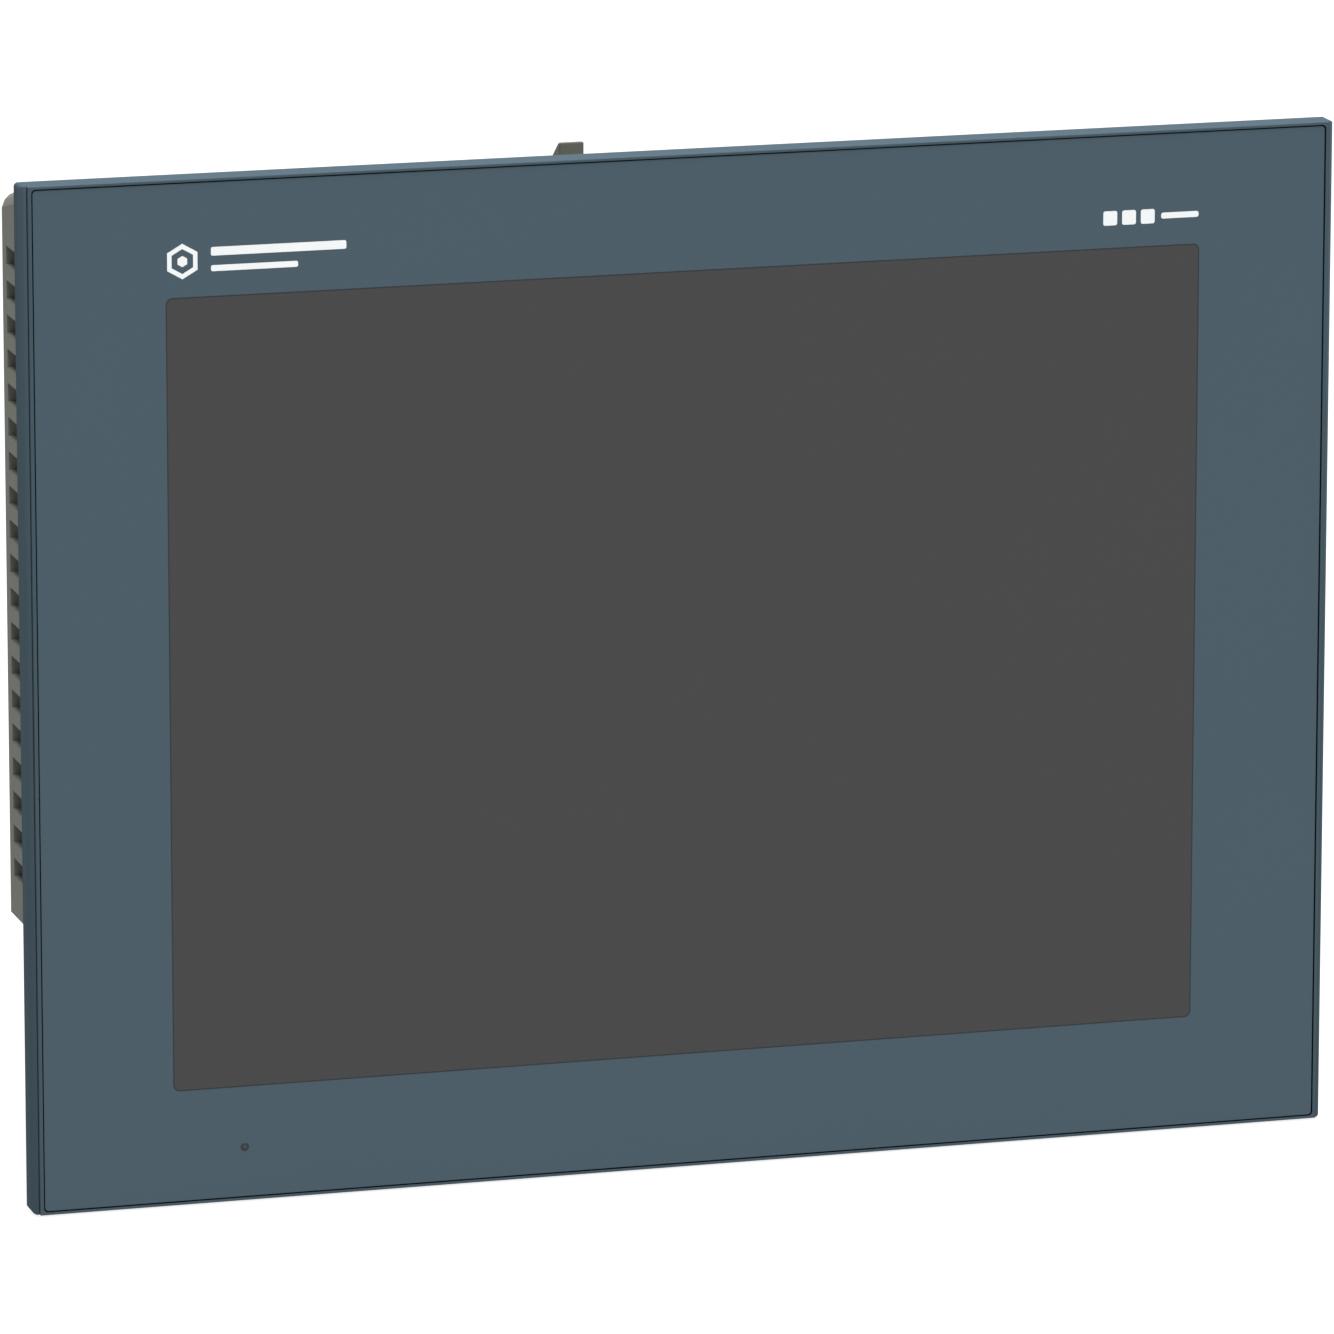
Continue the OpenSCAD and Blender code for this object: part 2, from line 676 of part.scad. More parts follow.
// Section with its top corners cut by three flats, round a corner of radius r
module cut_corners(r) {
    difference() {
        translate([-housing_w / 2 - 2, -slope_tall]) square([housing_w + 4, slope_tall + 1]);
        for (side = [-1, 1], a = [22.5, 45, 67.5]) translate([side * (housing_w / 2 - r), -r])
            rotate(side > 0 ? a : 180 - a) translate([r - 0.15, -20]) square([40, 40]);
    }
}

// The housing's block: side outline with rounded corners
module housing_solid(t, r) {
    intersection() {
        side_sweep(t);
        plate(housing_w - 2 * t, housing_h - 2 * t, r, bezel_back - 2, housing_depth + 1);
    }
}

// The same block, with its top corners eased along the sloping top
module eased_housing(r) {
    intersection() {
        housing_solid(0, r);
        translate([0, housing_depth - slope_run, housing_h / 2]) rotate([-slope_angle, 0, 0])
            translate([0, 80, 0]) rotate([90, 0, 0]) linear_extrude(150) cut_corners(r);
    }
}

module side_slot(side, k) {
    z = first_slot_z - slot_pitch * k;
    x = side * housing_w / 2;
    block([x - wall - 1, 18, z - slot_gap / 2], [x + wall + 1, housing_depth - 4, z + slot_gap / 2]);
}

module vents() {
    for (k = [0:slots_left - 1]) side_slot(-1, k);
    for (k = [0:11]) side_slot(1, k);
    for (k = [-15:15]) {
        x = slot_pitch * k;
        if (abs(x - hook_x) > 10) {
            block([x - slot_gap / 2, 18, housing_h / 2 - wall - 1], [x + slot_gap / 2, 31, housing_h / 2 + 1]);
        }
        block([x - slot_gap / 2, housing_depth - wall - 1, 74], [x + slot_gap / 2, housing_depth + 1, 98]);
        block([x - slot_gap / 2, housing_depth - wall - 1, -52], [x + slot_gap / 2, housing_depth + 1, -34]);
    }
}

// Openings in the downward face, one for each connector
module connector_openings() {
    c = 0.4;
    z = [step_z - 1, step_z + wall + 1];
    block([power_x - header_half[0] - c, board_back - c, z[0]],
        [power_x + header_half[0] + c, power_y + header_half[1] + c, z[1]]);
    block([serial_x - 15.4 - c, serial_y - 6.2 - c, z[0]], [serial_x + 15.4 + c, serial_y + 6.2 + c, z[1]]);
    for (x = jack_xs) block([x - 8 - c, jack_y[0] - c, z[0]], [x + 8 + c, jack_y[1] + c, z[1]]);
    for (x = host_xs) block([x - 6.6 - c, host_y[0] - c, z[0]], [x + 6.6 + c, host_y[1] + c, z[1]]);
    block([device_x - 3.9 - c, board_back - c, z[0]], [device_x + 3.9 + c, board_back + 4 + c, z[1]]);
}

// Pocket that a panel fastener hooks into, and the block that holds it, on the top (1) or the bottom (-1)
module fastener_block(x, side) {
    far = side * (housing_h / 2 - 1);
    near = side * (housing_h / 2 - pocket_deep - 1.6);
    block([x - pocket_w / 2 - 1.6, pocket_y[0] - 1.6, min(far, near)],
        [x + pocket_w / 2 + 1.6, pocket_y[1] + 1.6, max(far, near)]);
}

module fastener_pocket(x, side) {
    far = side * (housing_h / 2 + 1);
    near = side * (housing_h / 2 - pocket_deep);
    block([x - pocket_w / 2, pocket_y[0], min(far, near)], [x + pocket_w / 2, pocket_y[1], max(far, near)]);
}

module rear_housing() color(olive_grey) {
    hook_slot_half = hook_w / 2 + hook_side_gap;
    difference() {
        union() {
            difference() {
                eased_housing(4);
                housing_solid(wall, 2);
            }
            for (at = post_xz) rod_y(5.5, post_end, housing_depth - 1, at);
            for (at = low_screw_xz) intersection() {
                rod_y(5.5, low_boss_end, low_depth - 1, at);
                eased_housing(4);
            }
            for (x = pocket_xs, side = [-1, 1]) fastener_block(x, side);
            // cheeks that carry the drop hook's trunnions, and the shelf its spring stands on
            for (side = [-1, 1]) translate([hook_x + side * (hook_slot_half + 1.5), 0, 0])
                block([-1.5, cheek_y[0], shelf_z - 1.5], [1.5, cheek_y[1], housing_h / 2 - 1]);
            block([hook_x - hook_slot_half - 1, cheek_y[0], shelf_z - 1.5],
                [hook_x + hook_slot_half + 1, cheek_y[1], shelf_z]);
        }
        vents();
        connector_openings();
        for (at = post_xz) {
            rod_y(1.6, post_end - 1, housing_depth, at);
            rod_y(3.6, housing_depth - 3, housing_depth + 1, at);
        }
        for (at = low_screw_xz) {
            rod_y(1.6, low_boss_end - 1, low_depth, at);
            rod_y(3.6, low_depth - 3, low_depth + 1, at);
        }
        for (x = pocket_xs, side = [-1, 1]) fastener_pocket(x, side);
        block([hook_x - hook_slot_half, hook_axis[0] - 2.4, shelf_z + 1],
            [hook_x + hook_slot_half, hook_end_y + 0.6, housing_h / 2 + 1]);
        rod_x(hook_trunnion_r + 0.06, hook_x - hook_slot_half - 2, hook_x + hook_slot_half + 2, hook_axis);
        block([cover_x - wall - 1, cover_y[0], cover_z[0]], [cover_x + 1, cover_y[1], cover_z[1]]);
        rod_z(hinge_r, cover_z[0] - 3, cover_z[1] + 3, hinge_at);
        // scoop for a fingertip at the card cover's free edge
        rod_z(5, -36, -22, [cover_x + 3.4, cover_y[0] - 1]);
        // shallow field for the label
        block([-50, housing_depth - 0.3, 5], [50, housing_depth + 1, 55]);
    }
}

module rear_screws() color("silver") {
    for (at = post_xz) screw_y(housing_depth - 3, 9, at);
    for (at = low_screw_xz) screw_y(low_depth - 3, 8, at);
}

// Lever on two trunnions: a catching face towards the panel and a ramp behind it
module drop_hook() color(olive_grey) {
    low = hook_lever[0];
    top = hook_lever[1];
    translate([hook_x - hook_w / 2, 0, 0]) rotate([90, 0, 90]) linear_extrude(hook_w) polygon([
        [hook_axis[0], low], [hook_axis[0], top], [hook_y, top], [hook_y, hook_tip_z],
        [hook_y + 1, hook_tip_z], [hook_end_y, top - 0.4], [hook_end_y, low]]);
    rod_x(hook_barrel_r, hook_x - hook_w / 2, hook_x + hook_w / 2, hook_axis);
    rod_x(hook_trunnion_r, hook_x - hook_w / 2 - hook_side_gap - 1.6, hook_x + hook_w / 2 + hook_side_gap + 1.6,
        hook_axis);
    translate([hook_x - hook_w / 2, 0, 0]) block([0, hook_axis[0] - 1, hook_axis[1]], [hook_w,
        hook_axis[0] + 1.9, top]);
}

// Leaf spring: a flat foot on the shelf, and a leg that leans up to the hook's lever
module hook_spring() color("silver") {
    rise = hook_lever[0] - shelf_z - 0.1;
    translate([hook_x - spring_w / 2, 0, shelf_z]) rotate([90, 0, 90]) linear_extrude(spring_w) polygon([
        [spring_y[0], 0], [spring_y[1], 0], [spring_y[1] + 0.3, 0.5], [spring_tip_y + 0.5, rise],
        [spring_tip_y, rise], [spring_y[1] - 0.3, spring_t], [spring_y[0], spring_t]]);
}

module rating_label() color("whitesmoke") {
    block([-48, housing_depth - 0.3, 7], [48, housing_depth - 0.1, 53]);
}

front_bezel();
overlay_sheet();
display_window();
touch_panel();
touch_adhesive();
touch_flex();
status_light_pipe();
status_led_board();
panel_gasket();
lcd_foam();
lcd_front_frame();
lcd_glass();
lcd_diffuser();
lcd_light_guide();
lcd_led_bar();
lcd_rear_tray();
lcd_control_board();
lcd_rear_pads();
display_cable();
backlight_cable();
chassis_plate();
chassis_screws();
housing_posts();
board_standoffs();
main_board();
board_chips();
processor_heatsink();
capacitors();
power_transformer();
battery_holder();
clock_battery();
buzzer();
serial_shell();
serial_insulator();
serial_pins();
serial_jack_posts();
serial_jack();
ethernet_jack();
jack_contacts();
usb_host_shells();
usb_host_tongues();
usb_device_port();
power_header();
power_header_pins();
power_plug();
power_plug_screws();
card_socket_base();
card_socket_shell();
dip_switch_body();
dip_slider(3);  // dip_slider_1
dip_slider(2);  // dip_slider_2
dip_slider(1);  // dip_slider_3
dip_slider(0);  // dip_slider_4
card_cover();
cover_hinge_pin();
rear_housing();
rear_screws();
drop_hook();
hook_spring();
rating_label();
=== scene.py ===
import math
import random

import bmesh
import bpy
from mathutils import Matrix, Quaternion, Vector


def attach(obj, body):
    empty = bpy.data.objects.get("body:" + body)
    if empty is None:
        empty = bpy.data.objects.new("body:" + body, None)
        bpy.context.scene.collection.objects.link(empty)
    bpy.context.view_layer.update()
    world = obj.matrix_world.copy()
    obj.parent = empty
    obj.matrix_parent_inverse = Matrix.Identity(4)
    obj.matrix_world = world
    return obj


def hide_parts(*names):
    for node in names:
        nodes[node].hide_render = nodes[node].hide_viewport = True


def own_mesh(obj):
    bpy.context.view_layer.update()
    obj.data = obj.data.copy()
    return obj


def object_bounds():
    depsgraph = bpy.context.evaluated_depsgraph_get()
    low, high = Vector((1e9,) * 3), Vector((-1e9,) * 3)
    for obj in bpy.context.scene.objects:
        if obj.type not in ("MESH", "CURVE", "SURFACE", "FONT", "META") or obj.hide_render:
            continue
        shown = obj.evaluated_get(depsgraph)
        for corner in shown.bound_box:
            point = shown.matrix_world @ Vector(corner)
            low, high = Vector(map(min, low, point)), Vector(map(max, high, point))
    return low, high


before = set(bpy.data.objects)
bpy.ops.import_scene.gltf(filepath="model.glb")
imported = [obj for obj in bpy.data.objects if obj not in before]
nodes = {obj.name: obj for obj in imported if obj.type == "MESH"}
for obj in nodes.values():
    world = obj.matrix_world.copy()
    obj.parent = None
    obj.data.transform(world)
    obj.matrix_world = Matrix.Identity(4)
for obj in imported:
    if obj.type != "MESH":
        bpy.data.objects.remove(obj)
cad_low, cad_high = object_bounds()
MM = 0.001


# ---------------------------------------------------------------- materials

COAT_ROUGHNESS = 0.12
GRAIN_BUMP = 0.35


def scaled(colour, k):
    """A colour made k times as bright, within the range of a colour."""
    return tuple(min(1.0, c * k) for c in colour)


def noise(nt, scale, detail=2.0, stretch=None):
    """A noise in the object's own metres, drawn out along one axis where stretch says so."""
    coord = nt.nodes.new("ShaderNodeTexCoord")
    out = coord.outputs["Object"]
    if stretch:
        mapping = nt.nodes.new("ShaderNodeMapping")
        mapping.inputs["Scale"].default_value = stretch
        nt.links.new(out, mapping.inputs["Vector"])
        out = mapping.outputs["Vector"]
    tex = nt.nodes.new("ShaderNodeTexNoise")
    tex.inputs["Scale"].default_value = scale
    tex.inputs["Detail"].default_value = detail
    nt.links.new(out, tex.inputs["Vector"])
    return tex.outputs["Fac"]


def spread(nt, fac, low, high):
    """A number from low to high as fac goes from 0.3 to 0.7."""
    node = nt.nodes.new("ShaderNodeMapRange")
    node.inputs["From Min"].default_value = 0.3
    node.inputs["From Max"].default_value = 0.7
    node.inputs["To Min"].default_value = low
    node.inputs["To Max"].default_value = high
    nt.links.new(fac, node.inputs["Value"])
    return node.outputs["Result"]


def mix_colour(nt, fac, a, b):
    """A colour from a to b as fac goes from 0 to 1."""
    node = nt.nodes.new("ShaderNodeMix")
    node.data_type = "RGBA"
    node.inputs["A"].default_value = (*a, 1)
    node.inputs["B"].default_value = (*b, 1)
    nt.links.new(fac, node.inputs["Factor"])
    return node.outputs["Result"]


def surface(name, colour, rough=0.5, vary=0.04, blotch=35.0, rough_vary=0.05, grain=2200.0, depth=0.02,
            metallic=0.0, specular=0.5, coat=0.0, stretch=None, transmission=0.0):
    """A moulded, painted or metal surface: slow colour variation, a grain in its roughness and its bump."""
    mat = bpy.data.materials.new(name)
    mat.use_nodes = True
    nt = mat.node_tree
    bsdf = nt.nodes["Principled BSDF"]
    bsdf.inputs["Metallic"].default_value = metallic
    bsdf.inputs["Specular IOR Level"].default_value = specular
    bsdf.inputs["Coat Weight"].default_value = coat
    bsdf.inputs["Coat Roughness"].default_value = COAT_ROUGHNESS
    bsdf.inputs["Transmission Weight"].default_value = transmission
    slow = noise(nt, blotch, 3.0, stretch)
    tone = mix_colour(nt, slow, scaled(colour, 1 - vary), scaled(colour, 1 + vary))
    nt.links.new(tone, bsdf.inputs["Base Color"])
    fine = noise(nt, grain, 2.0, stretch)
    roughness = spread(nt, fine, max(0.02, rough - rough_vary), min(1.0, rough + rough_vary))
    nt.links.new(roughness, bsdf.inputs["Roughness"])
    bump = nt.nodes.new("ShaderNodeBump")
    bump.inputs["Strength"].default_value = GRAIN_BUMP
    bump.inputs["Distance"].default_value = depth * MM
    nt.links.new(fine, bump.inputs["Height"])
    nt.links.new(bump.outputs["Normal"], bsdf.inputs["Normal"])
    return mat


def round_edges(mat, radius):
    """Gives a material rounded-looking edges of this radius in millimetres, without changing the shape."""
    nt = mat.node_tree
    edge = nt.nodes.new("ShaderNodeBevel")
    edge.samples = 4
    edge.inputs["Radius"].default_value = radius * MM
    for node in nt.nodes:
        if node.bl_idname == "ShaderNodeBump":
            nt.links.new(edge.outputs["Normal"], node.inputs["Normal"])


def board_material(name, mask, copper):
    """Solder mask over copper: fine horizontal and vertical tracks, pads and a few broad pours."""
    mat = bpy.data.materials.new(name)
    mat.use_nodes = True
    nt = mat.node_tree
    bsdf = nt.nodes["Principled BSDF"]
    bsdf.inputs["Coat Weight"].default_value = 0.3
    coord = nt.nodes.new("ShaderNodeTexCoord")
    mapping = nt.nodes.new("ShaderNodeMapping")
    mapping.inputs["Rotation"].default_value = (math.radians(90), 0, 0)
    nt.links.new(coord.outputs["Object"], mapping.inputs["Vector"])
    tracks = nt.nodes.new("ShaderNodeTexBrick")
    tracks.inputs["Scale"].default_value = 90
    tracks.inputs["Mortar Size"].default_value = 0.035
    tracks.inputs["Color1"].default_value = (*mask, 1)
    tracks.inputs["Color2"].default_value = (*scaled(mask, 0.82), 1)
    tracks.inputs["Mortar"].default_value = (*scaled(mask, 1.9), 1)
    nt.links.new(mapping.outputs["Vector"], tracks.inputs["Vector"])
    holes = nt.nodes.new("ShaderNodeTexVoronoi")
    holes.inputs["Scale"].default_value = 260
    nt.links.new(mapping.outputs["Vector"], holes.inputs["Vector"])
    ring = nt.nodes.new("ShaderNodeMapRange")
    ring.inputs["From Min"].default_value = 0.10
    ring.inputs["From Max"].default_value = 0.16
    ring.inputs["To Min"].default_value = 1.0
    ring.inputs["To Max"].default_value = 0.0
    nt.links.new(holes.outputs["Distance"], ring.inputs["Value"])
    mix = nt.nodes.new("ShaderNodeMix")
    mix.data_type = "RGBA"
    nt.links.new(ring.outputs["Result"], mix.inputs["Factor"])
    nt.links.new(tracks.outputs["Color"], mix.inputs["A"])
    mix.inputs["B"].default_value = (*copper, 1)
    nt.links.new(mix.outputs["Result"], bsdf.inputs["Base Color"])
    fine = noise(nt, 600, 2.0)
    nt.links.new(spread(nt, fine, 0.3, 0.45), bsdf.inputs["Roughness"])
    bump = nt.nodes.new("ShaderNodeBump")
    bump.inputs["Strength"].default_value = 0.4
    bump.inputs["Distance"].default_value = 0.04 * MM
    nt.links.new(tracks.outputs["Fac"], bump.inputs["Height"])
    nt.links.new(bump.outputs["Normal"], bsdf.inputs["Normal"])
    return mat


# colours in linear light
BLUE_GREY = (0.0500, 0.0765, 0.0948)
OLIVE = (0.1345, 0.1405, 0.1235)
# radius of the housing's edges in millimetres
HOUSING_EDGE = 0.35

bezel_plastic = surface("bezel_plastic", scaled(BLUE_GREY, 0.89), rough=0.55, vary=0.03, blotch=28,
                        grain=2600, depth=0.03, specular=0.002)
front_film = surface("front_film", BLUE_GREY, rough=0.62, vary=0.012, blotch=14, rough_vary=0.04,
                     grain=5200, depth=0.008, specular=0.03)
window_film = surface("window_film", (0.0475, 0.0475, 0.0477), rough=0.6, vary=0.015, blotch=10,
                      rough_vary=0.04, grain=5600, depth=0.006, specular=0.03)
window_edge = surface("window_edge", (0.030, 0.033, 0.036), rough=0.6, vary=0.04, grain=4000,
                      depth=0.006, specular=0.03)
housing_plastic = surface("housing_plastic", OLIVE, rough=0.58, vary=0.04, blotch=22, rough_vary=0.07,
                          grain=2000, depth=0.04, specular=0.012)
round_edges(housing_plastic, HOUSING_EDGE)
# dark: painted shade for the inside of the housing
hollow_painted_shade = surface("hollow_painted_shade", (0.022, 0.023, 0.021), rough=0.7, vary=0.12, blotch=60,
                       grain=1600, depth=0.03, specular=0.1)
# near black: painted shade for the groove round the front sheet
groove_painted_shade = surface("groove_painted_shade", (0.006, 0.007, 0.008), rough=0.7, vary=0.1, grain=2600,
                         depth=0.01, specular=0.02)
# the hook is of the housing's plastic; its darker tone is painted shade on its front face
hook_plastic_painted_shade = surface("hook_plastic_painted_shade", (0.107, 0.115, 0.096), rough=0.5, vary=0.05, blotch=120,
                       grain=2200, depth=0.03, specular=0.1)
white_print = surface("white_print", (0.62, 0.64, 0.64), rough=0.6, vary=0.05, blotch=200, grain=4200,
                      depth=0.006)
dark_print = surface("dark_print", (0.030, 0.031, 0.033), rough=0.65, vary=0.08, blotch=200, grain=4200,
                     depth=0.006)
label_film = surface("label_film", (0.52, 0.53, 0.52), rough=0.42, vary=0.03, blotch=60, grain=3600,
                     depth=0.006, coat=0.1)
gasket_foam = surface("gasket_foam", (0.016, 0.016, 0.017), rough=0.85, vary=0.25, blotch=900,
                      grain=3400, depth=0.16)
foam = surface("foam", (0.03, 0.03, 0.032), rough=0.9, vary=0.2, blotch=800, grain=3000, depth=0.2)
lens = surface("lens", (0.022, 0.026, 0.029), rough=0.35, vary=0.1, blotch=900, rough_vary=0.05,
               grain=3000, depth=0.006, specular=0.2)
lens_core = surface("lens_core", (0.045, 0.048, 0.050), rough=0.4, vary=0.1, blotch=1500, grain=3000,
                    depth=0.006, specular=0.1)
touch_glass = surface("touch_glass", (0.50, 0.56, 0.56), rough=0.08, vary=0.03, rough_vary=0.02,
                      grain=800, depth=0.002, transmission=0.6, specular=0.5)
flex_film = surface("flex_film", (0.46, 0.17, 0.03), rough=0.3, vary=0.12, blotch=120, grain=900,
                    depth=0.02, stretch=(6, 1, 1), coat=0.3)
white_film = surface("white_film", (0.74, 0.74, 0.72), rough=0.6, vary=0.03, grain=2600, depth=0.01)
clear_guide = surface("clear_guide", (0.72, 0.77, 0.80), rough=0.12, vary=0.03, rough_vary=0.03,
                      grain=1200, depth=0.01, transmission=0.5)
display_glass = surface("display_glass", (0.020, 0.020, 0.023), rough=0.14, vary=0.1, rough_vary=0.03,
                        grain=1500, depth=0.002)
plated_steel = surface("plated_steel", (0.50, 0.50, 0.49), rough=0.36, vary=0.12, blotch=70,
                       rough_vary=0.10, grain=1500, depth=0.01, metallic=0.9, stretch=(1, 1, 5))
screw_steel = surface("screw_steel", (0.55, 0.55, 0.54), rough=0.30, vary=0.10, blotch=300,
                      rough_vary=0.10, grain=2600, depth=0.01, metallic=0.95)
tin_shell = surface("tin_shell", (0.62, 0.61, 0.58), rough=0.26, vary=0.08, blotch=150, rough_vary=0.08,
                    grain=2400, depth=0.008, metallic=0.95, stretch=(1, 4, 1))
plated_brass = surface("plated_brass", (0.70, 0.50, 0.20), rough=0.28, vary=0.12, blotch=400,
                       rough_vary=0.08, grain=2600, depth=0.006, metallic=0.95)
aluminium = surface("aluminium", (0.66, 0.67, 0.68), rough=0.38, vary=0.08, blotch=60, rough_vary=0.10,
                    grain=1300, depth=0.015, metallic=0.95, stretch=(1, 1, 8))
chip_epoxy = surface("chip_epoxy", (0.020, 0.020, 0.021), rough=0.6, vary=0.2, blotch=500, grain=3600,
                     depth=0.02)
black_moulding = surface("black_moulding", (0.018, 0.018, 0.019), rough=0.45, vary=0.2, blotch=300,
                         grain=3000, depth=0.02)
green_moulding = surface("green_moulding", (0.016, 0.110, 0.050), rough=0.42, vary=0.1, blotch=200,
                         grain=2800, depth=0.02)
white_moulding = surface("white_moulding", (0.68, 0.68, 0.65), rough=0.4, vary=0.04, blotch=200,
                         grain=2800, depth=0.015)
red_moulding = surface("red_moulding", (0.28, 0.018, 0.014), rough=0.4, vary=0.1, blotch=300,
                       grain=2800, depth=0.015)
yellow_tape = surface("yellow_tape", (0.50, 0.36, 0.05), rough=0.35, vary=0.15, blotch=160, grain=1200,
                      depth=0.02, stretch=(1, 1, 6))
led_green = surface("led_green", (0.05, 0.30, 0.08), rough=0.3, vary=0.1, blotch=600, grain=2600,
                    depth=0.006)
led_amber = surface("led_amber", (0.50, 0.24, 0.02), rough=0.3, vary=0.1, blotch=600, grain=2600,
                    depth=0.006)
tan_ceramic = surface("tan_ceramic", (0.36, 0.26, 0.15), rough=0.5, vary=0.15, blotch=900, grain=3600,
                      depth=0.01)
board = board_material("board", (0.010, 0.085, 0.036), (0.34, 0.36, 0.34))


# ---------------------------------------------------------------- pieces carried over from the frame

# degrees of bend between two facets: below the first they are one plain face, above the second an edge
PLAIN_BEND = 0.4
ROUND_BEND = 34
# facets of a round are alike in area, in square metres, and small
ALIKE = 2.6
LARGE = 1e-3
# corners nearer than this, in metres, are one corner
SAME_PLACE = 1e-6


def shade_rounds(mesh):
    """Smooth shading on the facets of rounds, and flat shading on plain faces, whatever their triangles."""
    polygons = mesh.polygons
    keys = [tuple(round(c / SAME_PLACE) for c in v.co) for v in mesh.vertices]
    sharing = {}
    for poly in polygons:
        for a, b in poly.edge_keys:
            sharing.setdefault(frozenset((keys[a], keys[b])), []).append(poly.index)
    parent = list(range(len(polygons)))

    def region(i):
        while parent[i] != i:
            parent[i] = parent[parent[i]]
            i = parent[i]
        return i

    bends = []
    for pair in sharing.values():
        if len(pair) != 2:
            continue
        a, b = pair
        cosine = polygons[a].normal.dot(polygons[b].normal)
        if cosine > math.cos(math.radians(PLAIN_BEND)):
            parent[region(a)] = region(b)
        elif cosine > math.cos(math.radians(ROUND_BEND)):
            bends.append((a, b))
    area = {}
    for poly in polygons:
        area[region(poly.index)] = area.get(region(poly.index), 0) + poly.area
    round_regions = set()
    for a, b in bends:
        a, b = region(a), region(b)
        if max(area[a], area[b]) < min(LARGE, ALIKE * min(area[a], area[b])):
            round_regions.update((a, b))
    for poly in polygons:
        poly.use_smooth = region(poly.index) in round_regions


# segments of a bevel, and the bend in degrees that counts as an edge on CAD nodes and on pieces made here
BEVEL_SEGMENTS = 2
NODE_EDGE = 36
PIECE_EDGE = 30
# vertices nearer than this, in millimetres, are joined before a bevel
WELD_GAP = 0.002


def soften(node, width, material):
    """Gives a CAD node its material, and rounds its edges with modifiers so that they catch light."""
    o = nodes[node]
    o.data.materials.clear()
    o.data.materials.append(material)
    for poly in o.data.polygons:
        poly.material_index = 0
    shade_rounds(o.data)
    weld = o.modifiers.new("weld", "WELD")
    weld.merge_threshold = WELD_GAP * MM
    if width:
        bevel = o.modifiers.new("bevel", "BEVEL")
        bevel.width = width * MM
        bevel.segments = BEVEL_SEGMENTS
        bevel.limit_method = "ANGLE"
        bevel.angle_limit = math.radians(NODE_EDGE)
        bevel.use_clamp_overlap = False


# width of the bevel in millimetres and material of each CAD node
FINISH = {
    "front_bezel": (0.12, bezel_plastic),
    "overlay_sheet": (0, front_film),
    "display_window": (0, window_film),
    "touch_panel": (0.1, touch_glass),
    "touch_adhesive": (0, foam),
    "touch_flex": (0, flex_film),
    "status_led_board": (0.05, board),
    "panel_gasket": (0.2, gasket_foam),
    "lcd_foam": (0, foam),
    "lcd_front_frame": (0.15, plated_steel),
    "lcd_glass": (0.05, display_glass),
    "lcd_diffuser": (0, white_film),
    "lcd_light_guide": (0.1, clear_guide),
    "lcd_led_bar": (0.05, white_film),
    "lcd_rear_tray": (0.15, plated_steel),
    "lcd_control_board": (0.06, board),
    "lcd_rear_pads": (0.2, foam),
    "display_cable": (0, white_moulding),
    "backlight_cable": (0, white_moulding),
    "chassis_plate": (0.15, plated_steel),
    "chassis_screws": (0.15, screw_steel),
    "housing_posts": (0.2, screw_steel),
    "board_standoffs": (0.2, plated_brass),
    "main_board": (0.08, board),
    "board_chips": (0.12, chip_epoxy),
    "processor_heatsink": (0.15, aluminium),
    "capacitors": (0.4, black_moulding),
    "power_transformer": (0.4, yellow_tape),
    "battery_holder": (0.2, black_moulding),
    "clock_battery": (0.3, screw_steel),
    "buzzer": (0.3, black_moulding),
    "serial_shell": (0.12, tin_shell),
    "serial_insulator": (0.1, black_moulding),
    "serial_pins": (0.12, plated_brass),
    "serial_jack_posts": (0.15, screw_steel),
    "serial_jack": (0.15, tin_shell),
    "ethernet_jack": (0.15, tin_shell),
    "jack_contacts": (0.04, plated_brass),
    "usb_host_shells": (0.08, tin_shell),
    "usb_host_tongues": (0.08, white_moulding),
    "usb_device_port": (0.08, tin_shell),
    "power_header": (0.15, green_moulding),
    "power_header_pins": (0.1, screw_steel),
    "power_plug": (0.2, green_moulding),
    "power_plug_screws": (0.12, screw_steel),
    "card_socket_base": (0.1, black_moulding),
    "card_socket_shell": (0.08, tin_shell),
    "dip_switch_body": (0.12, red_moulding),
    "dip_slider_1": (0.08, white_moulding),
    "dip_slider_2": (0.08, white_moulding),
    "dip_slider_3": (0.08, white_moulding),
    "dip_slider_4": (0.08, white_moulding),
    "card_cover": (0.2, housing_plastic),
    "cover_hinge_pin": (0.1, screw_steel),
    "rear_housing": (0, housing_plastic),
    "rear_screws": (0.15, screw_steel),
    "drop_hook": (0.42, hook_plastic_painted_shade),
    "hook_spring": (0.05, screw_steel),
    "rating_label": (0.03, label_film),
}
for name, (width, material) in FINISH.items():
    soften(name, width, material)

def paint(node, material, covers):
    """Gives a CAD node a second material where covers says so of a face's middle, in millimetres."""
    o = nodes[node]
    o.data.materials.append(material)
    for poly in o.data.polygons:
        if covers((o.matrix_world @ poly.center) / MM):
            poly.material_index = 1


# half sizes and back plane of the bezel's shallow pocket, in which the front sheet lies
POCKET_HALF_W = 155.07
POCKET_HALF_H = 119.87
POCKET_BACK_Y = -6.3


def in_sheet_pocket(c):
    """True on the bezel's faces that border the front sheet's pocket."""
    return abs(c.x) < POCKET_HALF_W and abs(c.z) < POCKET_HALF_H and c.y < POCKET_BACK_Y


# limits of the housing's hollow: the ceiling falls with the sloping top, and the part below the step is
# shallow
HOLLOW_HALF_W = 147.5
HOLLOW_Y = (2.0, 46.2)
HOLLOW_LOW_Z = -111.0
HOLLOW_TOP_Z = 110.8
SLOPE_Y = 34.0
SLOPE_Z = 111.5
SLOPE_FALL = 0.2286
STEP_Y = 12.0
STEP_Z = -60.2


